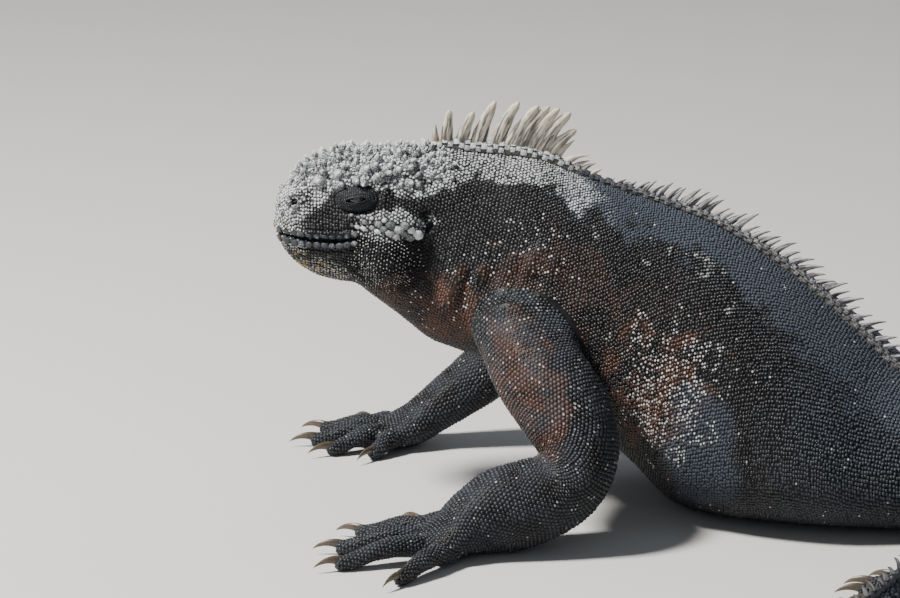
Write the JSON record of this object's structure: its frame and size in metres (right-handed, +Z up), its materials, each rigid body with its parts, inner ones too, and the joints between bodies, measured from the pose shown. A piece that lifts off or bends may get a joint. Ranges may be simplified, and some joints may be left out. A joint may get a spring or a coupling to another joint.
{
  "type": "marine iguana model",
  "caption": "Life-size marine iguana at rest, chest raised on bent forearms, blunt knobbly head, spiny crest from nape to tail, long flat-sided tail curled round its left side.",
  "frame": {"origin": "On the floor, under the middle of the belly, at the centre of the flat that the belly rests on.", "axes": "+Z up, off the floor. The head points towards -X and the animal's left side faces -Y, the side that is seen in the picture."},
  "size_m": [0.5294, 0.4392, 0.2044],
  "materials": {
    "skin": "matte, pebbled with small bead scales",
    "head_skin": "matte and crusty, with pale knobs",
    "eye": "wet and glossy"
  },
  "bodies": {
    "root": {"head": "head_skin", "eye_left": "eye", "eye_right": "eye", "neck": "skin", "chest": "skin", "belly": "skin", "pelvis": "skin", "tail_base": "skin", "tail_middle": "skin", "tail_rear": "skin", "tail_tip": "skin", "upper_arm_left": "skin", "forearm_left": "skin", "hand_left": "skin", "upper_arm_right": "skin", "forearm_right": "skin", "hand_right": "skin", "thigh_left": "skin", "shank_left": "skin", "foot_left": "skin", "thigh_right": "skin", "shank_right": "skin", "foot_right": "skin"}
  },
  "joints": []
}
